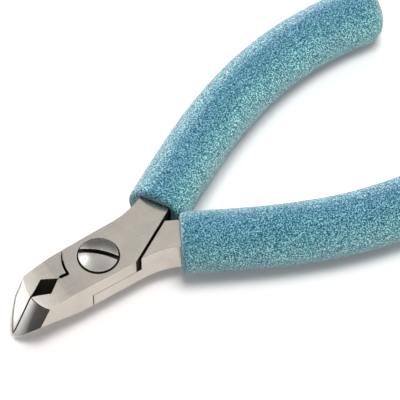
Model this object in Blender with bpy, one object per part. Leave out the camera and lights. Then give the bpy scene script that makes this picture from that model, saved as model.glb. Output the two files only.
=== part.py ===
"""Angled-tip flush cutter: two lap-jointed levers, pivot screw, return spring and foam grips.

World frame in metres. The origin is on the pivot axis, level with the joint's underside.
+X runs to the cutting tip, +Y to the side of the upper lever's jaw and +Z upward.
The upper lever's handle is on the -Y side, because the levers cross at the pivot.
"""
import math

import bmesh
import bpy

MM = 0.001

# Clearances between pieces
FIT_GAP = 0.3 * MM
BLADE_GAP = 0.14 * MM
PLATE_GAP = 0.16 * MM
SHOULDER_GAP = 0.7 * MM
UPPER_STEP_GAP = 0.45 * MM
LOWER_STEP_GAP = 0.18 * MM
GRIP_GAP = 0.3 * MM

# Head and lap joint
HEAD_THICKNESS = 7.74 * MM
SEAM_HEIGHT = 3.75 * MM
HEAD_HALF_WIDTH = 5.9 * MM
NOSE_HALF_WIDTH = 5.24 * MM
NOSE_POSITION = 16.0 * MM
PLATE_RADIUS = 7.6 * MM
STEP_SHIFT = 0.15 * MM
STEP_NEAR_TURN = math.radians(12.0)
STEP_FAR_TURN = math.radians(64.0)
OPENING_ANGLE = math.radians(16.0)

# Jaws
JAW_ROOT = 9.0 * MM
EDGE_TOP_POSITION = 17.34 * MM
EDGE_TOP_DROP = 1.4 * MM
TOP_SLOPE_POWER = 1.3
TIP_POSITION = 22.49 * MM
TIP_DEPTH = 4.13 * MM
FRONT_RADIUS = 10.95 * MM
SIDE_WALL_FOOT = 3.0 * MM
SIDE_WALL_RISE = 0.83
SHIELD_POWER = 1.6
SHIELD_WIDENING = 1.05

# Stop hole between the step in the joint and the diamond
STOP_HOLE_REAR = (8.05 * MM, 0.2 * MM)
STOP_HOLE_FRONT = (9.6 * MM, 0.0)
STOP_HOLE_RADIUS = 0.4 * MM

# Diamond relief behind the cutting edges
RELIEF_REAR = 10.9 * MM
RELIEF_WAIST = 13.8 * MM
RELIEF_HALF_WIDTH = 2.2 * MM
RELIEF_LAND = 0.1 * MM

# Pivot screw
SCREW_HEAD_RADIUS = 4.4 * MM
SCREW_HEAD_SEAT = 1.7 * MM
SCREW_RIM_RISE = 0.6 * MM
SCREW_DOME_RISE = 1.0 * MM
SCREW_RIM_FILLET = 0.18 * MM
SCREW_SHANK_RADIUS = 2.3 * MM
SLOT_WIDTH = 1.05 * MM
SLOT_DEPTH = 1.45 * MM
SLOT_ANGLE = math.radians(-46.0)

# Return spring
WIRE_RADIUS = 0.35 * MM
SPRING_RADIUS = 3.9 * MM
SPRING_LEG = 1.2 * MM
UPPER_LEG_ANGLE = math.radians(150.0)
LOWER_LEG_ANGLE = math.radians(-155.0)
LEG_SLOT_PLAY = math.radians(0.6)

# Handles: the centreline starts straight, then bows back towards the middle
HANDLE_ANGLE = math.radians(29.5)
HANDLE_START_X = -21.88 * MM
HANDLE_START_Y = 7.2 * MM
HANDLE_BOW_LENGTH = 58.5 * MM
NECK_HALF_WIDTH = 3.5 * MM
NECK_TAPER_LENGTH = 14.0 * MM
TANG_HALF_WIDTH = 2.5 * MM
TANG_LENGTH = 68.0 * MM
NECK_FILLET = 21.0 * MM

# Grips
UPPER_GRIP_FRONT = 4.76 * MM
LOWER_GRIP_FRONT = 4.5 * MM
GRIP_LENGTH = 80.0 * MM
GRIP_RADIUS = 6.85 * MM
GRIP_FRONT_ROUND = 1.1 * MM
GRIP_REAR_ROUND = 5.0 * MM

# Facets and reach of the cutters beyond the piece that they cut
ROUND_STEPS = 64
FRONT_STEPS = 24
SHIELD_STEPS = 20
GRIP_SIDES = 32
WIRE_SIDES = 8
REACH = 3.0 * MM
LENGTH_STEP = 0.5 * MM
WELD = 0.0005 * MM


def clear_scene():
    for old in list(bpy.data.objects):
        bpy.data.objects.remove(old, do_unlink=True)


def material(name, colour, roughness, metallic):
    made = bpy.data.materials.new(name)
    made.use_nodes = True
    shader = made.node_tree.nodes["Principled BSDF"]
    shader.inputs["Base Color"].default_value = (*colour, 1.0)
    shader.inputs["Roughness"].default_value = roughness
    shader.inputs["Metallic"].default_value = metallic
    return made


def add_object(name, shape, finish=None):
    """Turn a bmesh into an object with its faces pointing out."""
    bmesh.ops.recalc_face_normals(shape, faces=shape.faces)
    mesh = bpy.data.meshes.new(name)
    shape.to_mesh(mesh)
    shape.free()
    made = bpy.data.objects.new(name, mesh)
    bpy.context.collection.objects.link(made)
    if finish:
        mesh.materials.append(finish)
    return made


def prism(name, outline, low, high):
    """Extrude a closed plan outline from one height to another."""
    shape = bmesh.new()
    ring = [shape.verts.new((x, y, low)) for x, y in outline]
    face = shape.faces.new(ring)
    raised = bmesh.ops.extrude_face_region(shape, geom=[face])
    verts = [item for item in raised["geom"] if isinstance(item, bmesh.types.BMVert)]
    bmesh.ops.translate(shape, verts=verts, vec=(0.0, 0.0, high - low))
    return add_object(name, shape)


def loft(name, sections, finish=None):
    """Join closed rings of equal length into one skin with both ends capped."""
    shape = bmesh.new()
    rings = [[shape.verts.new(point) for point in section] for section in sections]
    for ring, following in zip(rings, rings[1:]):
        for index, vert in enumerate(ring):
            after = (index + 1) % len(ring)
            shape.faces.new((vert, ring[after], following[after], following[index]))
    shape.faces.new(rings[0])
    shape.faces.new(rings[-1])
    return add_object(name, shape, finish)


def turned(name, profile, finish=None):
    """Spin a radius and height profile about the pivot axis."""
    shape = bmesh.new()
    verts = [shape.verts.new((radius, 0.0, height)) for radius, height in profile]
    edges = [shape.edges.new(pair) for pair in zip(verts, verts[1:])]
    bmesh.ops.spin(
        shape, geom=verts + edges, cent=(0, 0, 0), axis=(0, 0, 1),
        angle=math.tau, steps=ROUND_STEPS, use_merge=True)
    bmesh.ops.remove_doubles(shape, verts=shape.verts, dist=WELD)
    return add_object(name, shape, finish)


def triangulate(target):
    """Split every face into triangles, which stay flat however their corners round."""
    shape = bmesh.new()
    shape.from_mesh(target.data)
    bmesh.ops.dissolve_degenerate(shape, edges=shape.edges, dist=WELD)
    bmesh.ops.remove_doubles(shape, verts=shape.verts, dist=WELD)
    bmesh.ops.triangulate(shape, faces=shape.faces)
    shape.to_mesh(target.data)
    shape.free()


def combine(target, cutter, operation="DIFFERENCE"):
    """Apply one exact Boolean and remove the cutter."""
    triangulate(target)
    triangulate(cutter)
    step = target.modifiers.new(operation.title(), "BOOLEAN")
    step.operation = operation
    step.solver = "EXACT"
    step.object = cutter
    bpy.context.view_layer.update()
    graph = bpy.context.evaluated_depsgraph_get()
    result = bpy.data.meshes.new_from_object(target.evaluated_get(graph))
    target.modifiers.clear()
    target.data = result
    bpy.data.objects.remove(cutter, do_unlink=True)


def shade(target, angle=30.0):
    target.data.shade_smooth()
    target.data.set_sharp_from_angle(angle=math.radians(angle))


def arc(centre, radius, start, end, steps):
    turns = [start + (end - start) * index / steps for index in range(steps + 1)]
    return [(centre[0] + radius * math.cos(turn), centre[1] + radius * math.sin(turn)) for turn in turns]


def half_width(x):
    """Half of the head's width, which tapers slowly towards the nose."""
    rear = -NOSE_POSITION / 2
    share = max(0.0, (x - rear) / (NOSE_POSITION - rear))
    return HEAD_HALF_WIDTH - (HEAD_HALF_WIDTH - NOSE_HALF_WIDTH) * share ** 2


def handle_turn(length):
    """Angle of the handle's centreline away from -X, at a length behind its start."""
    share = max(0.0, length) / HANDLE_BOW_LENGTH
    return HANDLE_ANGLE * math.cos(share * math.pi / 2)


def handle_point(length, side, offset=0.0):
    """Point on the handle, offset towards the gap between the handles. Side is the jaw's."""
    x, y = HANDLE_START_X, HANDLE_START_Y
    steps = max(1, math.ceil(abs(length) / LENGTH_STEP))
    for index in range(steps):
        turn = handle_turn(length * (index + 0.5) / steps)
        x -= math.cos(turn) * length / steps
        y += math.sin(turn) * length / steps
    turn = handle_turn(length)
    return x - offset * math.sin(turn), -side * (y - offset * math.cos(turn))


def tang_half_width(length):
    """The tang narrows from the neck to its end inside the grip."""
    share = min(1.0, max(0.0, length / NECK_TAPER_LENGTH))
    return NECK_HALF_WIDTH - (NECK_HALF_WIDTH - TANG_HALF_WIDTH) * share


def spread(start, end, count):
    return [start + (end - start) * index / (count - 1) for index in range(count)]


def neck_line(side, offset, y):
    """Where a straight line along a handle's neck, offset from its centreline, reaches y."""
    base_x, base_y = handle_point(0.0, side, offset)
    return base_x + (y - base_y) * side / math.tan(HANDLE_ANGLE), y


def meet_wall(side, offset, wall):
    """Where a line along a handle's neck crosses one of the head's walls."""
    x = 0.0
    for _ in range(6):
        x = neck_line(side, offset, wall * half_width(x))[0]
    return x, wall * half_width(x)


def neck_fillet(side):
    """Arc from the neck's outer edge onto the head's wall."""
    corner_x, corner_y = meet_wall(side, -NECK_HALF_WIDTH, -side)
    reach = NECK_FILLET * math.tan(HANDLE_ANGLE / 2)
    centre = (corner_x + reach, corner_y - side * NECK_FILLET)
    start = side * (math.pi / 2 + HANDLE_ANGLE)
    return arc(centre, NECK_FILLET, start, side * math.pi / 2, 10)


def plate_outline(side):
    """Plan outline of one lever: half-joint plate, its jaw and its handle tang."""
    nose = TIP_POSITION + REACH
    half_gap = BLADE_GAP / 2
    jaw_rear = meet_wall(side, NECK_HALF_WIDTH, side)
    wall_turn = math.acos(meet_radius(PLATE_RADIUS) / PLATE_RADIUS)
    fillet = neck_fillet(side)
    lengths = spread(0.0, TANG_LENGTH, 24)
    outline = [(nose, side * half_gap)]
    outline += [(x, side * half_width(x)) for x in spread(nose, jaw_rear[0], 12)]
    outline += [handle_point(length, side, tang_half_width(length)) for length in lengths]
    outline += [handle_point(length, side, -tang_half_width(length)) for length in reversed(lengths)]
    outline += fillet
    outline += [(x, -side * half_width(x)) for x in spread(fillet[-1][0], meet_radius(PLATE_RADIUS), 7)[1:-1]]
    outline += arc((0.0, 0.0), PLATE_RADIUS, -side * wall_turn, side * math.asin(half_gap / PLATE_RADIUS), 16)
    return outline


def meet_radius(radius):
    """Distance ahead of the pivot where a circle about it meets the head's wall."""
    x = radius / 2
    for _ in range(6):
        x = math.sqrt(radius ** 2 - half_width(x) ** 2)
    return x


def pocket_outline(side, step_gap):
    """Room for the other lever's half-joint plate, cut from one lever's jaw and neck."""
    centre = (STEP_SHIFT, -side * STEP_SHIFT)
    radius = PLATE_RADIUS + step_gap
    step = arc(centre, radius, -side * STEP_NEAR_TURN, side * STEP_FAR_TURN, 18)
    wide = side * (HEAD_HALF_WIDTH + REACH)
    shoulder = NECK_HALF_WIDTH + SHOULDER_GAP
    shoulder_front = neck_line(-side, shoulder, -wide)
    shoulder_rear = neck_line(-side, shoulder, side * REACH)
    ahead = PLATE_RADIUS + REACH
    outer = [(step[-1][0], wide), (shoulder_rear[0], wide)]
    return step + outer + [shoulder_rear, shoulder_front, (ahead, -wide), (ahead, step[0][1])]


def top_drop(x):
    """How far the jaws' top face falls below the head's top."""
    share = max(0.0, (x - JAW_ROOT) / (EDGE_TOP_POSITION - JAW_ROOT))
    return EDGE_TOP_DROP * share ** TOP_SLOPE_POWER


def trim_top(lever):
    """Slope the jaws' top face down to the cutting edge."""
    stations = spread(JAW_ROOT, TIP_POSITION + 2 * REACH, 12)
    wide = HEAD_HALF_WIDTH + REACH
    roof = HEAD_THICKNESS + 2 * REACH
    lift = 0.001 * MM
    sections = []
    for x in stations:
        floor = HEAD_THICKNESS - top_drop(x) + (lift if x == stations[0] else 0.0)
        sections.append([(x, -wide, floor), (x, wide, floor), (x, wide, roof), (x, -wide, roof)])
    combine(lever, loft("top_cutter", sections))


def shield_section(x):
    """Lower outline of the closed jaws at one station: a pointed shield, flat at the joint."""
    share = max(0.0, (x - JAW_ROOT) / (TIP_POSITION - JAW_ROOT))
    keel = -TIP_DEPTH * share ** 2
    foot = SIDE_WALL_FOOT * min(1.0, share / SIDE_WALL_RISE)
    wide = half_width(x) * SHIELD_WIDENING
    outer = HANDLE_START_Y + GRIP_LENGTH
    floor = -TIP_DEPTH - 3 * REACH
    points = [(x, -outer, floor), (x, -outer, foot)]
    for turn in spread(0.0, math.pi, SHIELD_STEPS + 1):
        y = -wide * math.cos(turn)
        level = (1.0 - min(1.0, abs(y) / wide) ** SHIELD_POWER) ** (1.0 / SHIELD_POWER)
        points.append((x, y, foot + (keel - foot) * level))
    return points + [(x, outer, foot), (x, outer, floor)]


def trim_underside(lever):
    """Cut the joint's flat underside, and the keel of the jaws ahead of it."""
    rear = 2 * HANDLE_START_X - GRIP_LENGTH
    stations = [rear] + spread(JAW_ROOT, TIP_POSITION + 2 * REACH, 14)
    combine(lever, loft("underside_cutter", [shield_section(x) for x in stations]))


def slanted(name, outline):
    """Prism through the jaws from a plan outline at the cutting edge's top, sloped as the edge is."""
    top = HEAD_THICKNESS - EDGE_TOP_DROP
    slope = (TIP_POSITION - EDGE_TOP_POSITION) / (top + TIP_DEPTH)
    heights = (-TIP_DEPTH - REACH, HEAD_THICKNESS + REACH)
    return loft(name, [[(x + (top - z) * slope, y, z) for x, y in outline] for z in heights])


def trim_front(lever):
    """Grind the convex front bevel that ends in the cutting edge."""
    wide = HEAD_HALF_WIDTH + REACH
    turn = math.asin(wide / FRONT_RADIUS)
    outline = arc((EDGE_TOP_POSITION - FRONT_RADIUS, 0.0), FRONT_RADIUS, -turn, turn, FRONT_STEPS)
    ahead = TIP_POSITION + 2 * REACH
    outline += [(ahead, wide), (ahead, -wide)]
    combine(lever, slanted("bevel_cutter", outline))


def cut_relief(lever):
    """Hollow out the diamond between the jaws, and the stop hole behind it."""
    front = EDGE_TOP_POSITION - RELIEF_LAND
    half = RELIEF_HALF_WIDTH
    diamond = [(RELIEF_REAR, 0.0), (RELIEF_WAIST, -half), (front, 0.0), (RELIEF_WAIST, half)]
    combine(lever, slanted("relief_cutter", diamond))
    lean = math.atan2(STOP_HOLE_FRONT[1] - STOP_HOLE_REAR[1], STOP_HOLE_FRONT[0] - STOP_HOLE_REAR[0])
    left = lean + math.pi / 2
    hole = arc(STOP_HOLE_FRONT, STOP_HOLE_RADIUS, left - math.pi, left, 6)
    hole += arc(STOP_HOLE_REAR, STOP_HOLE_RADIUS, left, left + math.pi, 6)
    combine(lever, prism("stop_cutter", hole, -TIP_DEPTH - REACH, HEAD_THICKNESS + REACH))


def bore(lever, radius, low, high):
    combine(lever, turned("bore_cutter", [(0.0, low), (radius, low), (radius, high), (0.0, high)]))


def cut_spring_groove(lever, low, high):
    """Ring groove for the spring's coil, on the plate face at the seam."""
    room = WIRE_RADIUS + FIT_GAP
    inner = SPRING_RADIUS - room
    outer = SPRING_RADIUS + room
    ring = [(inner, low), (outer, low), (outer, high), (inner, high), (inner, low)]
    combine(lever, turned("groove_cutter", ring))


def leg_slot(name, start, end, low, high):
    """Curved slot about the pivot, with round ends, for a leg of the spring."""
    room = WIRE_RADIUS + FIT_GAP
    outline = arc((0.0, 0.0), SPRING_RADIUS + room, start, end, 6)
    tip = (SPRING_RADIUS * math.cos(end), SPRING_RADIUS * math.sin(end))
    outline += arc(tip, room, end, end + math.pi, 8)[1:-1]
    outline += arc((0.0, 0.0), SPRING_RADIUS - room, end, start, 6)
    root = (SPRING_RADIUS * math.cos(start), SPRING_RADIUS * math.sin(start))
    outline += arc(root, room, start + math.pi, start + math.tau, 8)[1:-1]
    return prism(name, outline, low, high)


def lever_blank(name, side, pocket):
    """One lever before its own bores: plan outline, partner's pocket, jaw grinds and relief."""
    lever = prism(name, plate_outline(side), -TIP_DEPTH - 2 * REACH, HEAD_THICKNESS)
    combine(lever, pocket)
    trim_underside(lever)
    trim_top(lever)
    trim_front(lever)
    cut_relief(lever)
    return lever


def build_upper_lever(steel):
    """Upper lever: jaw on +Y, handle on -Y, counterbored for the screw head."""
    face = SEAM_HEIGHT + PLATE_GAP / 2
    pocket = prism("pocket_cutter", pocket_outline(1, LOWER_STEP_GAP), -TIP_DEPTH - 3 * REACH, face)
    lever = lever_blank("upper_lever", 1, pocket)
    bore(lever, SCREW_SHANK_RADIUS + FIT_GAP, face - REACH, HEAD_THICKNESS + REACH)
    bore(lever, SCREW_HEAD_RADIUS + FIT_GAP, HEAD_THICKNESS - SCREW_HEAD_SEAT, HEAD_THICKNESS + REACH)
    room = WIRE_RADIUS + FIT_GAP
    cut_spring_groove(lever, SEAM_HEIGHT - room, SEAM_HEIGHT + room)
    slot_end = UPPER_LEG_ANGLE
    slot_top = SEAM_HEIGHT + SPRING_LEG + FIT_GAP
    combine(lever, leg_slot("leg_cutter", slot_end - OPENING_ANGLE, slot_end, SEAM_HEIGHT, slot_top))
    lever.data.materials.append(steel)
    shade(lever)
    return lever


def build_lower_lever(steel):
    """Lower lever: jaw on -Y, handle on +Y, holding the screw and the spring's lower leg."""
    face = SEAM_HEIGHT - PLATE_GAP / 2
    pocket = prism("pocket_cutter", pocket_outline(-1, UPPER_STEP_GAP), face, HEAD_THICKNESS + REACH)
    lever = lever_blank("lower_lever", -1, pocket)
    bore(lever, SCREW_SHANK_RADIUS + FIT_GAP, -REACH, face + REACH)
    room = WIRE_RADIUS + FIT_GAP
    cut_spring_groove(lever, SEAM_HEIGHT - room, SEAM_HEIGHT + room)
    slot_floor = SEAM_HEIGHT - SPRING_LEG - FIT_GAP
    slot_end = LOWER_LEG_ANGLE + LEG_SLOT_PLAY
    combine(lever, leg_slot("leg_cutter", LOWER_LEG_ANGLE, slot_end, slot_floor, SEAM_HEIGHT))
    lever.data.materials.append(steel)
    shade(lever)
    return lever


def build_screw(steel):
    """Domed, slotted pivot screw with its shank end flush with the joint's underside."""
    seat = HEAD_THICKNESS - SCREW_HEAD_SEAT + FIT_GAP
    rim = HEAD_THICKNESS + SCREW_RIM_RISE
    apex = rim + SCREW_DOME_RISE
    crown = SCREW_HEAD_RADIUS - SCREW_RIM_FILLET
    sphere = (crown ** 2 + SCREW_DOME_RISE ** 2) / (2 * SCREW_DOME_RISE)
    centre = apex - sphere
    dome = [(radius, centre + math.sqrt(sphere ** 2 - radius ** 2)) for radius in spread(0.0, crown, 8)]
    fillet = [(crown + SCREW_RIM_FILLET * math.sin(turn), rim - SCREW_RIM_FILLET * (1 - math.cos(turn)))
              for turn in spread(0.0, math.pi / 2, 4)[1:]]
    shank = SCREW_SHANK_RADIUS
    foot = [(SCREW_HEAD_RADIUS, seat), (shank, seat), (shank, 0.0), (0.0, 0.0)]
    screw = turned("pivot_screw", dome + fillet + foot, steel)
    reach = SCREW_HEAD_RADIUS + REACH
    half = SLOT_WIDTH / 2
    box = [(-reach, -half), (reach, -half), (reach, half), (-reach, half)]
    cutter = prism("slot_cutter", box, apex - SLOT_DEPTH, apex + REACH)
    cutter.rotation_euler.z = SLOT_ANGLE
    combine(screw, cutter)
    shade(screw)
    return screw


def spring_path():
    """Leg up into the upper lever, coil round the screw, leg down into the lower lever."""
    turns = spread(UPPER_LEG_ANGLE, LOWER_LEG_ANGLE, 45)
    coil = [(SPRING_RADIUS * math.cos(turn), SPRING_RADIUS * math.sin(turn), SEAM_HEIGHT) for turn in turns]
    top = (coil[0][0], coil[0][1], SEAM_HEIGHT + SPRING_LEG)
    foot = (coil[-1][0], coil[-1][1], SEAM_HEIGHT - SPRING_LEG)
    return [top] + coil + [foot]


def build_spring(steel):
    curve = bpy.data.curves.new("spring_wire", "CURVE")
    curve.dimensions = "3D"
    curve.bevel_depth = WIRE_RADIUS
    curve.bevel_resolution = (WIRE_SIDES - 4) // 2
    curve.use_fill_caps = True
    path = spring_path()
    line = curve.splines.new("POLY")
    line.points.add(len(path) - 1)
    for point, place in zip(line.points, path):
        point.co = (*place, 1.0)
    spring = bpy.data.objects.new("return_spring", curve)
    bpy.context.collection.objects.link(spring)
    curve.materials.append(steel)
    return spring


def grip_radius(behind):
    """Radius of a grip at a distance behind its front end."""
    front = GRIP_FRONT_ROUND - min(behind, GRIP_FRONT_ROUND)
    rear = GRIP_REAR_ROUND - min(GRIP_LENGTH - behind, GRIP_REAR_ROUND)
    lost_in_front = GRIP_FRONT_ROUND - math.sqrt(GRIP_FRONT_ROUND ** 2 - front ** 2)
    lost_in_rear = GRIP_REAR_ROUND - math.sqrt(GRIP_REAR_ROUND ** 2 - rear ** 2)
    return GRIP_RADIUS - lost_in_front - lost_in_rear


def cross_section(length, side, across, rise, turns):
    """Ring square to the handle at one length, from unit circle or rectangle factors."""
    ring = []
    for along_y, along_z in turns:
        x, y = handle_point(length, side, across * along_y)
        ring.append((x, y, HEAD_THICKNESS / 2 + rise * along_z))
    return ring


def grip_stations():
    """Distances behind the front end, closer together on the two rounded ends."""
    front = [GRIP_FRONT_ROUND * (1 - math.cos(turn)) for turn in spread(0.0, math.pi / 2, 5)]
    rear = [GRIP_LENGTH - GRIP_REAR_ROUND * (1 - math.cos(turn)) for turn in spread(math.pi / 2, 0.0, 5)]
    return front + spread(front[-1], rear[0], 22)[1:-1] + rear


def build_grip(name, side, front, foam):
    """Foam sleeve that follows the handle, closed at the rear, with a bore for the tang."""
    circle = [(math.cos(turn), math.sin(turn)) for turn in spread(0.0, math.tau, GRIP_SIDES + 1)[:-1]]
    sections = []
    for behind in grip_stations():
        radius = grip_radius(behind)
        sections.append(cross_section(behind - front, side, radius, radius, circle))
    grip = loft(name, sections, foam)
    square = [(-1.0, -1.0), (1.0, -1.0), (1.0, 1.0), (-1.0, 1.0)]
    rise = HEAD_THICKNESS / 2 + FIT_GAP
    lengths = [-front - REACH] + spread(0.0, TANG_LENGTH + FIT_GAP, 24)
    bores = [cross_section(length, side, tang_half_width(length) + FIT_GAP, rise, square) for length in lengths]
    combine(grip, loft("bore_cutter", bores))
    press_flat(grip, side)
    shade(grip, 50.0)
    return grip


def press_flat(grip, side):
    """Flat on the inner side of a grip's front, where the two sleeves press on each other."""
    edge = -side * GRIP_GAP / 2
    wide = GRIP_RADIUS + REACH
    rear = HANDLE_START_X - GRIP_LENGTH
    half = [(rear, edge), (0.0, edge), (0.0, side * wide), (rear, side * wide)]
    combine(grip, prism("middle_cutter", half, -wide, HEAD_THICKNESS + wide))


def build():
    clear_scene()
    steel = material("satin_steel", (0.50, 0.46, 0.42), 0.34, 1.0)
    bright_steel = material("bright_steel", (0.56, 0.54, 0.51), 0.22, 1.0)
    spring_steel = material("spring_steel", (0.30, 0.30, 0.31), 0.30, 1.0)
    foam = material("turquoise_foam", (0.10, 0.38, 0.46), 0.85, 0.0)
    pivot = bpy.data.objects.new("pivot_axis", None)
    bpy.context.collection.objects.link(pivot)
    upper = [build_upper_lever(steel), build_grip("upper_lever_grip", 1, UPPER_GRIP_FRONT, foam)]
    for piece in upper:
        piece.parent = pivot
    build_lower_lever(steel)
    build_screw(bright_steel)
    build_spring(spring_steel)
    build_grip("lower_lever_grip", -1, LOWER_GRIP_FRONT, foam)


build()
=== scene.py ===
"""Looks of the angled-tip flush cutter: steel and foam finishes, sleeves, light and camera."""
import math

import bmesh
import bpy
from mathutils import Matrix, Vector
from mathutils.bvhtree import BVHTree


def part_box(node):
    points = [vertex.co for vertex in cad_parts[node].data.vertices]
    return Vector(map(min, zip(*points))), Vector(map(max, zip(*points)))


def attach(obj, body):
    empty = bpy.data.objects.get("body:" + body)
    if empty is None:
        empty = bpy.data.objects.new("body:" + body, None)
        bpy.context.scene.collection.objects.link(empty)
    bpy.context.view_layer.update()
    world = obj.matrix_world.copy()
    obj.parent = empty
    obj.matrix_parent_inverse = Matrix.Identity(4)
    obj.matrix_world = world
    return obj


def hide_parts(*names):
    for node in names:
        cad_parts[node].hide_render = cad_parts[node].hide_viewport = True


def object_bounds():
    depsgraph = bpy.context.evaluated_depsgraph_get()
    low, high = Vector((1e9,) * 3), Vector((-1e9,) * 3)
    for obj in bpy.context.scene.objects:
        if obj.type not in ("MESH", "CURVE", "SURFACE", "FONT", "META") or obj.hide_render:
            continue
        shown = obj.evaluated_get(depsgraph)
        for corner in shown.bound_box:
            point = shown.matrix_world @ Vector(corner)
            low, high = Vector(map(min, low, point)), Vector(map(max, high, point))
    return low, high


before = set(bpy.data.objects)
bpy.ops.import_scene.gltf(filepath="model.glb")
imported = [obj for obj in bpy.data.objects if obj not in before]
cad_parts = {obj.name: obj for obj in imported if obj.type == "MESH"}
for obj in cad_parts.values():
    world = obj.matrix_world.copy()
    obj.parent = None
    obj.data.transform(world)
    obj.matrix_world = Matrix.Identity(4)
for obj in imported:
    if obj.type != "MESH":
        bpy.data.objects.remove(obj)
CAD_BOX = [list(corner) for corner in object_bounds()]

MM = 0.001

# Camera of the photograph, in the part's frame
CAMERA_PLACE = Vector((148.91, 258.70, 448.95)) * MM
CAMERA_LOOK = Vector((-0.32433, -0.47835, -0.81608))
CAMERA_LENS = 221.77
SENSOR_WIDTH = 36.0
CLIP_START = 10 * MM

# Studio directions: right and away as the photograph sees them, along the floor
VIEW_RIGHT = Vector((-0.8277, 0.5612, 0.0))
VIEW_AWAY = Vector((-0.5612, -0.8277, 0.0))
UP = Vector((0.0, 0.0, 1.0))

# Floor and world
FLOOR_SIZE = 1600
FLOOR_GAP = 0.03 * MM
TIP_CLEARANCE = 1.6 * MM
FLOOR_TONE = (0.90, 0.875, 0.87, 1.0)
FLOOR_LIFT = 0.10
WORLD_LIGHT = 0.25

# Lamps: place to the right, away and up in millimetres, then width and radiance
TOP_LIGHT = ((70, -40, 520), 220, 15.4)
BACK_LIGHT = ((0, 330, 380), 250, 5.0)
CREST_LIGHT = ((-303, 128, 374), 175, 2.4)
RIM_LIGHT = ((-410, 320, 70), 150, 2.6)
CREST_COLOUR = (0.86, 0.94, 1.0)

# Dark cards: place and size in millimetres, tone, and where on the card the fade starts and ends
LEVEL = CAD_BOX[0][2] / MM
BACK_CARD = ((255, 420, 356), (990, 720), 0.20, (-116, 290))
FRONT_CARD = ((-169, -242.3, LEVEL), (400, 400), 0.04, (190, 200))
ROOF_CARD = ((-120, 264, 522), (170, 170), 0.0, (-250, 120))
OVERHEAD_CARD = ((80, -70, 560), (540, 660), 0.0, (-900, 420))
FRONT_TURN = 0.2

# Steel finishes: colour, roughness and the stretch of the grind lines, which lean with the
# cutting edge on the bevels
SATIN = ((0.61, 0.565, 0.505), 0.24, (0.08, 1.0, 1.0))
BRIGHT = ((0.58, 0.55, 0.51), 0.26, (1.0, 1.0, 1.0))
# The front bevels' own finer, turned grind, in steel brightened to near white: the brightness is a painted
# highlight
BEVEL = ((0.88, 0.87, 0.84), 0.20, (1.0, 1.0, 0.08))
# Dark grey steel for the rim along the far bevel's outline: painted shade
PAINTED_RIM_SHADE = ((0.30, 0.29, 0.28), 0.30, (1.0, 1.0, 1.0))
BEVEL_GRIND_TURN = (0.0, 0.456, 0.0)
GRIND_SCALE = 1500.0
GRIND_DETAIL = 3.0
GRIND_ROUGHNESS = (-0.06, 0.08)
GRIND_STRENGTH = 0.25
GRIND_DEPTH = 0.02 * MM
STEEL_CLOUD_SCALE = 170.0
STEEL_CLOUD_SPAN = (0.3, 0.7)
STEEL_CLOUD_SHADE = 0.88

# Painted shade: dark steel on the faces inside the gaps and the diamond, which look at other steel close by
PAINTED_SHADE_TONE = (0.022, 0.020, 0.016, 1.0)
PAINTED_SHADE_METAL = 0.3
PAINTED_SHADE_ROUGHNESS = 0.65
PAINTED_SHADE_SHINE = 0.2

# Steel faces: their finishes by number, and what tells an inner face, painted with shade, or a front bevel
GROUND, PAINTED_SHADE, BEVELLED, PAINTED_RIM = range(4)
INNER_REACH = 5.5 * MM
INNER_SHARE = 0.42
INNER_RAYS = 24
RAY_LIFT = 0.08 * MM
BEVEL_START = 15.0 * MM
BEVEL_LEAN = 0.6
LEAST_AREA = 1e-15

# Steel edges: cleaning, rounding, and the outlines of the front bevels, painted dark as shade
WELD = 0.02 * MM
FLAT_ANGLE = math.radians(0.6)
SHARP_ANGLE = math.radians(32.0)
EDGE_ROUND = 0.10 * MM
LINE_ROUND = 0.12 * MM
PAINTED_RIM_WIDTH = 0.8 * MM
ROUND_PROFILE = 0.5
FLUSH_PROFILE = 1.0
ROUND_STEPS = 2

# Cutting edges, and the arc of the upper plate beside the far jaw
BLADE_START = 16.9 * MM
BLADE_REACH = 0.15 * MM
BLADE_SHOW = 0.15 * MM
ARC_RADIUS = 7.6 * MM
ARC_SPAN = (-4.4 * MM, -5.71 * MM)
ARC_GROWTH = 0.42 * MM

# Form of the foam sleeves
SLEEVE_VOXEL = 0.24 * MM
SOFTEN_SHARE = 0.5
SOFTEN_PASSES = 4
PEBBLE_SIZE = 0.9 * MM
PEBBLE_DEPTH = 0.10 * MM
SWELL_SIZE = 7.0 * MM
SWELL_DEPTH = 0.12 * MM

# Foam finish: tints of the grain, with painted shade in its pits and painted highlights on its crests; slow
# changes of tone; and tints for the side that the skin faces, painted light and shade
FOAM_GRAIN_SCALE = 3300.0
FOAM_GRAIN_DETAIL = 1.0
FOAM_CLOUD_SCALE = 60.0
FOAM_PIT_SHADE_AND_CREST_HIGHLIGHT = [(0.36, (0.008, 0.07, 0.11)), (0.52, (0.13, 0.40, 0.54)), (0.66, (0.74, 0.98, 1.0))]
FOAM_WASH = [(0.35, (0.92, 0.98, 0.95)), (0.65, (1.0, 0.98, 1.0))]
# Painted light and shade: the foam is lighter on the sides facing along this axis and against it, and about
# half as bright on top
PAINTED_LIGHT_AXIS = VIEW_RIGHT * -0.8 + VIEW_AWAY * 0.6
PAINTED_SIDE_LIGHT = [(0.08, (0.80, 1.0, 0.90)), (0.30, (0.41, 0.59, 0.60)),
              (0.56, (0.38, 0.545, 0.63)), (0.72, (1.0, 1.0, 1.0))]
FOAM_ROUGHNESS = 0.60
FOAM_SHEEN = 0.45
FOAM_SHEEN_ROUGHNESS = 0.4
FOAM_RELIEF = 0.35 * MM


def studio_place(right, away, up):
    """Place in the part's frame, given in millimetres along the studio directions."""
    return (VIEW_RIGHT * right + VIEW_AWAY * away + UP * up) * MM


# Node trees

def new_material(name):
    made = bpy.data.materials.new(name)
    made.use_nodes = True
    tree = made.node_tree
    return made, tree, tree.nodes["Principled BSDF"]


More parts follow.
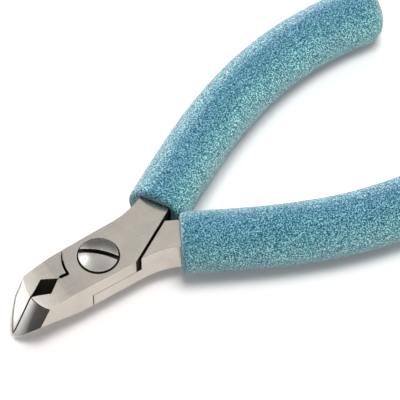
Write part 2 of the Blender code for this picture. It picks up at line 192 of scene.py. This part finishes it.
def add_node(tree, kind, inputs=None, **settings):
    """Shader node, with values for its inputs and for its own settings."""
    node = tree.nodes.new("ShaderNode" + kind)
    for key, value in (inputs or {}).items():
        node.inputs[key].default_value = value
    for key, value in settings.items():
        setattr(node, key, value)
    return node


def ramp(tree, source, stops):
    """Colour ramp on a value, with stops given as pairs of place and colour."""
    node = add_node(tree, "ValToRGB")
    elements = node.color_ramp.elements
    while len(elements) < len(stops):
        elements.new(0.5)
    for element, (place, colour) in zip(elements, stops):
        element.position = place
        element.color = (*colour, 1.0)
    tree.links.new(source, node.inputs["Fac"])
    return node.outputs["Color"]


def spread(tree, source, low, high, start=0.0, end=1.0):
    """A value remapped from one range to another."""
    node = add_node(tree, "MapRange", {"From Min": start, "From Max": end, "To Min": low, "To Max": high})
    tree.links.new(source, node.inputs["Value"])
    return node.outputs["Result"]


def noise(tree, scale, detail=2.0, stretch=(1.0, 1.0, 1.0), turn=(0.0, 0.0, 0.0)):
    """Noise fixed to the piece, turned and then stretched along its own axes."""
    place = add_node(tree, "TexCoord")
    turned = add_node(tree, "Mapping", {"Rotation": turn})
    scaled = add_node(tree, "Mapping", {"Scale": stretch})
    texture = add_node(tree, "TexNoise", {"Scale": scale, "Detail": detail})
    tree.links.new(place.outputs["Object"], turned.inputs["Vector"])
    tree.links.new(turned.outputs["Vector"], scaled.inputs["Vector"])
    tree.links.new(scaled.outputs["Vector"], texture.inputs["Vector"])
    return texture.outputs["Fac"]


def multiply(tree, first, second):
    node = add_node(tree, "Mix", data_type="RGBA", blend_type="MULTIPLY")
    node.inputs["Factor"].default_value = 1.0
    tree.links.new(first, node.inputs["A"])
    tree.links.new(second, node.inputs["B"])
    return node.outputs["Result"]


def bump(tree, height, strength, distance):
    node = add_node(tree, "Bump", {"Strength": strength, "Distance": distance})
    tree.links.new(height, node.inputs["Height"])
    return node.outputs["Normal"]


# Studio

def make_camera():
    data = bpy.data.cameras.new("photo_camera")
    data.lens = CAMERA_LENS
    data.sensor_width = SENSOR_WIDTH
    data.clip_start = CLIP_START
    camera = bpy.data.objects.new("photo_camera", data)
    camera.location = CAMERA_PLACE
    camera.rotation_euler = CAMERA_LOOK.to_track_quat("-Z", "Y").to_euler()
    bpy.context.collection.objects.link(camera)
    bpy.context.scene.camera = camera


def shown_ray(tree):
    """One for what the camera sees, also in a reflection or through glass, and zero for light."""
    path = add_node(tree, "LightPath")
    total = path.outputs["Is Camera Ray"]
    for kind in ("Is Glossy Ray", "Is Transmission Ray"):
        join = add_node(tree, "Math", operation="MAXIMUM")
        tree.links.new(total, join.inputs[0])
        tree.links.new(path.outputs[kind], join.inputs[1])
        total = join.outputs["Value"]
    return total


def make_world():
    """White world, which lights the tool at a lower level than it shows."""
    world = bpy.data.worlds.new("studio")
    bpy.context.scene.world = world
    world.use_nodes = True
    tree = world.node_tree
    background = tree.nodes["Background"]
    background.inputs["Color"].default_value = (1.0, 1.0, 1.0, 1.0)
    tree.links.new(spread(tree, shown_ray(tree), WORLD_LIGHT, 1.0), background.inputs["Strength"])


def card(name, width, height, place, finish):
    """Flat rectangle of the studio, in millimetres, lying level at a place."""
    half_x, half_y = width * MM / 2, height * MM / 2
    mesh = bpy.data.meshes.new(name)
    corners = [(-half_x, -half_y, 0), (half_x, -half_y, 0), (half_x, half_y, 0), (-half_x, half_y, 0)]
    mesh.from_pydata(corners, [], [(0, 1, 2, 3)])
    made = bpy.data.objects.new(name, mesh)
    made.location = place
    bpy.context.collection.objects.link(made)
    mesh.materials.append(finish)
    return made


def matt_glow(name, colour, glow):
    """Matt material of one colour that can also glow in a plain grey tone."""
    paint, tree, shader = new_material(name)
    shader.inputs["Base Color"].default_value = colour
    shader.inputs["Roughness"].default_value = 1.0
    shader.inputs["Specular IOR Level"].default_value = 0.0
    shader.inputs["Emission Color"].default_value = (glow, glow, glow, 1.0)
    return paint, tree, shader


def make_floor():
    """White floor, sloped so that it meets the grips' rear ends and leaves the tip clear."""
    paint, tree, shader = matt_glow("white_floor", FLOOR_TONE, 1.0)
    tree.links.new(spread(tree, shown_ray(tree), 0.0, FLOOR_LIFT), shader.inputs["Emission Strength"])
    tip_low, tip_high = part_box("lower_lever")
    grip_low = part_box("lower_lever_grip")[0]
    slope = math.atan2(grip_low.z - tip_low.z + TIP_CLEARANCE, tip_high.x - grip_low.x)
    place = Vector((grip_low.x, 0.0, grip_low.z - FLOOR_GAP))
    card("floor", FLOOR_SIZE, FLOOR_SIZE, place, paint).rotation_euler.y = slope


def fading_card(name, turn, place, size, tone, fade):
    """Plain card, seen in reflections alone, that fades to clear from one height on it to another."""
    paint, tree, shader = matt_glow(name, (0.0, 0.0, 0.0, 1.0), tone)
    shader.inputs["Emission Strength"].default_value = 1.0
    ground = add_node(tree, "TexCoord")
    axes = add_node(tree, "SeparateXYZ")
    tree.links.new(ground.outputs["Object"], axes.inputs["Vector"])
    cover = spread(tree, axes.outputs["Y"], 1.0, 0.0, fade[0] * MM, fade[1] * MM)
    tree.links.new(cover, shader.inputs["Alpha"])
    made = card(name, *size, studio_place(*place), paint)
    made.rotation_euler = turn
    made.visible_camera = False
    made.visible_diffuse = False
    made.visible_shadow = False


def make_cards():
    """Dark cards that the steel mirrors: behind the tool, low beside the tip and overhead."""
    facing = math.atan2(VIEW_RIGHT.y, VIEW_RIGHT.x)
    roof_turn = studio_place(*ROOF_CARD[0]).to_track_quat("Z", "Y").to_euler()
    fading_card("back_card", (math.pi / 2, 0.0, facing), *BACK_CARD)
    fading_card("front_card", (0.0, 0.0, facing + FRONT_TURN), *FRONT_CARD)
    fading_card("roof_card", roof_turn, *ROOF_CARD)
    fading_card("overhead_card", (0.0, 0.0, facing), *OVERHEAD_CARD)


def make_lamp(name, place, size, radiance, colour=(1.0, 1.0, 1.0)):
    """Square soft lamp, in millimetres, that faces the tool."""
    data = bpy.data.lights.new(name, "AREA")
    data.color = colour
    data.size = size * MM
    data.energy = radiance * math.pi * data.size ** 2
    lamp = bpy.data.objects.new(name, data)
    lamp.location = studio_place(*place)
    lamp.rotation_euler = (-studio_place(*place)).to_track_quat("-Z", "Y").to_euler()
    bpy.context.collection.objects.link(lamp)
    return lamp


def make_lamps():
    """Two lamps that light the tool, and two that only its steel mirrors."""
    make_lamp("top_light", *TOP_LIGHT).visible_glossy = False
    make_lamp("back_light", *BACK_LIGHT).visible_glossy = False
    make_lamp("crest_light", *CREST_LIGHT, CREST_COLOUR).visible_diffuse = False
    make_lamp("rim_light", *RIM_LIGHT).visible_diffuse = False


# Finishes

def ground_steel(name, colour, roughness, stretch, turn=(0.0, 0.0, 0.0)):
    """Satin ground steel with fine grind lines and a soft change of tone over the surface."""
    made, tree, shader = new_material(name)
    shader.inputs["Metallic"].default_value = 1.0
    grain = noise(tree, GRIND_SCALE, GRIND_DETAIL, stretch, turn)
    cloud = noise(tree, STEEL_CLOUD_SCALE)
    darker = tuple(value * STEEL_CLOUD_SHADE for value in colour)
    tones = ramp(tree, cloud, list(zip(STEEL_CLOUD_SPAN, (darker, colour))))
    tree.links.new(tones, shader.inputs["Base Color"])
    smooth, rough = (roughness + change for change in GRIND_ROUGHNESS)
    tree.links.new(spread(tree, grain, smooth, rough), shader.inputs["Roughness"])
    tree.links.new(bump(tree, grain, GRIND_STRENGTH, GRIND_DEPTH), shader.inputs["Normal"])
    return made


def make_painted_shade_steel():
    """Dark steel painted on the faces inside the gaps and the diamond, as painted shade."""
    made, _, shader = new_material("painted_shade_steel")
    shader.inputs["Base Color"].default_value = PAINTED_SHADE_TONE
    shader.inputs["Metallic"].default_value = PAINTED_SHADE_METAL
    shader.inputs["Roughness"].default_value = PAINTED_SHADE_ROUGHNESS
    shader.inputs["Specular IOR Level"].default_value = PAINTED_SHADE_SHINE
    return made


def painted_side_light(tree):
    """Painted light and shade on the foam by the side that its skin faces: lighter on the long sides, about
    half as bright on top.
    """
    side = add_node(tree, "VectorMath", operation="DOT_PRODUCT")
    side.inputs[1].default_value = PAINTED_LIGHT_AXIS
    tree.links.new(add_node(tree, "TexCoord").outputs["Normal"], side.inputs[0])
    return ramp(tree, spread(tree, side.outputs["Value"], 0.0, 1.0, -1.0, 1.0), PAINTED_SIDE_LIGHT)


def foam_skin():
    """Turquoise foam with a moulded, pebbled skin, painted with shade in the grain's pits, highlights on
    its crests and light and shade by side.
    """
    made, tree, shader = new_material("turquoise_foam")
    grain = noise(tree, FOAM_GRAIN_SCALE, FOAM_GRAIN_DETAIL)
    # The same grain raises the bump, so its dark tints sit in the pits as painted shade and its near-white
    # tints on the crests as painted highlights
    painted_grain_light = ramp(tree, grain, FOAM_PIT_SHADE_AND_CREST_HIGHLIGHT)
    wash = ramp(tree, noise(tree, FOAM_CLOUD_SCALE), FOAM_WASH)
    colour = multiply(tree, multiply(tree, painted_grain_light, wash), painted_side_light(tree))
    tree.links.new(colour, shader.inputs["Base Color"])
    shader.inputs["Roughness"].default_value = FOAM_ROUGHNESS
    shader.inputs["Sheen Weight"].default_value = FOAM_SHEEN
    shader.inputs["Sheen Roughness"].default_value = FOAM_SHEEN_ROUGHNESS
    tree.links.new(bump(tree, grain, 1.0, FOAM_RELIEF), shader.inputs["Normal"])
    return made


# Steel pieces

def steel_at_rest():
    """Search tree over all the steel, which tells the faces that look at other steel."""
    verts, faces = [], []
    for node in ("upper_lever", "lower_lever", "pivot_screw"):
        mesh = bpy.data.objects[node].data
        first = len(verts)
        verts += [vert.co.copy() for vert in mesh.vertices]
        faces += [[first + index for index in face.vertices] for face in mesh.polygons]
    return BVHTree.FromPolygons(verts, faces)


def dome_directions(count):
    """Even directions over a half sphere about +Z, denser near the pole."""
    golden = math.pi * (3.0 - math.sqrt(5.0))
    found = []
    for index in range(count):
        height = math.sqrt((index + 0.5) / count)
        radius = math.sqrt(1.0 - height ** 2)
        found.append(Vector((radius * math.cos(golden * index), radius * math.sin(golden * index), height)))
    return found


def closed_share(place, normal, steel, directions):
    """Share of the directions above a point of a face that meet steel close by."""
    turn = normal.to_track_quat("Z", "Y")
    start = place + normal * RAY_LIFT
    hits = [steel.ray_cast(start, turn @ direction, INNER_REACH)[0] for direction in directions]
    return sum(hit is not None for hit in hits) / len(directions)


def face_finish(face, patches, steel, directions):
    """Finish of a face, from its patches: pairs of a middle and an area."""
    total = sum(area for _, area in patches)
    closed = sum(closed_share(place, face.normal, steel, directions) * area for place, area in patches)
    # A face that looks mostly at steel close by gets painted shade.
    if closed > INNER_SHARE * total:
        return PAINTED_SHADE
    middle = sum((place * area for place, area in patches), Vector()) / total
    return BEVELLED if middle.x > BEVEL_START and face.normal.x > BEVEL_LEAN else GROUND


def sort_faces(shape, steel):
    """Set each face's finish from where it lies and what it looks at; faces closed in by steel get painted
    shade.
    """
    directions = dome_directions(INNER_RAYS)
    split = {}
    for loops in shape.calc_loop_triangles():
        a, b, c = (loop.vert.co for loop in loops)
        area = (b - a).cross(c - a).length / 2
        split.setdefault(loops[0].face, []).append(((a + b + c) / 3, area + LEAST_AREA))
    for face, patches in split.items():
        face.material_index = face_finish(face, patches, steel, directions)


def on_blade(vert):
    """Whether a corner lies on the cutting edges, where the two jaws all but meet."""
    return abs(vert.co.y) < BLADE_REACH and vert.co.x > BLADE_START


def open_blades(shape):
    """Draw the cutting edges back a little, so that the line between them shows."""
    for vert in shape.verts:
        if on_blade(vert):
            vert.co.y += math.copysign(BLADE_SHOW, vert.co.y)


def narrow_arc(shape):
    """Draw the plate's arc out towards the jaw at its far end, where the gap would show the floor."""
    for vert in shape.verts:
        radius = vert.co.xy.length
        share = (vert.co.y - ARC_SPAN[0]) / (ARC_SPAN[1] - ARC_SPAN[0])
        if vert.co.x > 0.0 and share > 0.0 and abs(radius - ARC_RADIUS) < WELD:
            vert.co.x = math.sqrt((radius + share * ARC_GROWTH) ** 2 - vert.co.y ** 2)


def on_near_jaw(edge):
    """Whether an edge lies on the near jaw, which is on the +Y side."""
    return edge.verts[0].co.y > 0.0


def lined(edge):
    """Whether an edge is part of a front bevel's outline, apart from the far jaw's top edge."""
    if not edge.is_manifold or all(on_blade(vert) for vert in edge.verts):
        return False
    faces = sorted(edge.link_faces, key=lambda face: face.material_index)
    if [face.material_index for face in faces] != [GROUND, BEVELLED]:
        return False
    return on_near_jaw(edge) or faces[0].normal.z < BEVEL_LEAN


def line_bevels(shape):
    """Round the near bevel's outline and paint it dark, and lay a grey rim along the far one's: painted
    shade along both outlines.
    """
    edges = [edge for edge in shape.edges if lined(edge)]
    near = [edge for edge in edges if on_near_jaw(edge)]
    far = [edge for edge in edges if not on_near_jaw(edge)]
    for outline, width, profile, finish in ((near, LINE_ROUND, ROUND_PROFILE, PAINTED_SHADE),
                                            (far, PAINTED_RIM_WIDTH, FLUSH_PROFILE, PAINTED_RIM)):
        bmesh.ops.bevel(shape, geom=outline, offset=width, offset_type="OFFSET", segments=ROUND_STEPS,
                        profile=profile, affect="EDGES", clamp_overlap=False, material=finish)


def mark_edges(shape):
    """Mark the edges that are softly rounded: all the sharp ones but the cutting edges."""
    weights = shape.edges.layers.float.new("bevel_weight_edge")
    for edge in shape.edges:
        sharp = edge.is_manifold and edge.calc_face_angle() > SHARP_ANGLE
        edge[weights] = 1.0 if sharp and not all(on_blade(vert) for vert in edge.verts) else 0.0


def dressed(node, body, steel, finishes):
    """Stand-in for a steel node, with cleaned faces, sorted finishes and softly rounded edges."""
    source = bpy.data.objects[node]
    shape = bmesh.new()
    shape.from_mesh(source.data)
    bmesh.ops.remove_doubles(shape, verts=shape.verts, dist=WELD)
    bmesh.ops.dissolve_limit(shape, angle_limit=FLAT_ANGLE, verts=shape.verts, edges=shape.edges)
    open_blades(shape)
    narrow_arc(shape)
    shape.normal_update()
    sort_faces(shape, steel)
    line_bevels(shape)
    mark_edges(shape)
    mesh = bpy.data.meshes.new(node + "_dressed")
    shape.to_mesh(mesh)
    shape.free()
    mesh.shade_smooth()
    mesh.set_sharp_from_angle(angle=SHARP_ANGLE)
    for finish in finishes:
        mesh.materials.append(finish)
    made = bpy.data.objects.new(node + "_dressed", mesh)
    bpy.context.collection.objects.link(made)
    edges = made.modifiers.new("Edges", "BEVEL")
    edges.width = EDGE_ROUND
    edges.segments = ROUND_STEPS
    edges.limit_method = "WEIGHT"
    flats = made.modifiers.new("Flats", "WEIGHTED_NORMAL")
    flats.keep_sharp = True
    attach(made, body)
    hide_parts(node)


# Foam sleeves

def sleeve(node, body, finish):
    """Foam sleeve: the plain grip's form with soft swells and a pebbled skin."""
    source = bpy.data.objects[node]
    mesh = source.data.copy()
    mesh.name = node + "_sleeve"
    mesh.materials.clear()
    mesh.materials.append(finish)
    made = bpy.data.objects.new(node + "_sleeve", mesh)
    bpy.context.collection.objects.link(made)
    skin = made.modifiers.new("Skin", "REMESH")
    skin.mode = "VOXEL"
    skin.voxel_size = SLEEVE_VOXEL
    skin.use_smooth_shade = True
    soft = made.modifiers.new("Soften", "SMOOTH")
    soft.factor = SOFTEN_SHARE
    soft.iterations = SOFTEN_PASSES
    for name, size, depth in (("swell", SWELL_SIZE, SWELL_DEPTH), ("pebble", PEBBLE_SIZE, PEBBLE_DEPTH)):
        texture = bpy.data.textures.new(node + "_" + name, "CLOUDS")
        texture.noise_scale = size
        texture.noise_depth = 1
        step = made.modifiers.new(name, "DISPLACE")
        step.texture = texture
        step.texture_coords = "LOCAL"
        step.strength = depth
        step.mid_level = 0.5
    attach(made, body)
    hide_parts(node)


def build():
    make_camera()
    make_floor()
    make_world()
    make_cards()
    make_lamps()
    steel = steel_at_rest()
    satin = ground_steel("satin_steel", *SATIN)
    bright = ground_steel("bright_steel", *BRIGHT)
    bevel = ground_steel("bevel_steel_painted_highlight", *BEVEL, BEVEL_GRIND_TURN)
    rim = ground_steel("painted_rim_shade_steel", *PAINTED_RIM_SHADE)
    # Dark steel painted on the inner faces and the near bevel's outline as shade
    dark = make_painted_shade_steel()
    dressed("upper_lever", "upper", steel, (satin, dark, bevel))
    dressed("lower_lever", "lower", steel, (satin, dark, bevel, rim))
    dressed("pivot_screw", "lower", steel, (bright, dark, bright))
    foam = foam_skin()
    sleeve("upper_lever_grip", "upper", foam)
    sleeve("lower_lever_grip", "lower", foam)


build()
bpy.context.scene.view_settings.view_transform = "Standard"
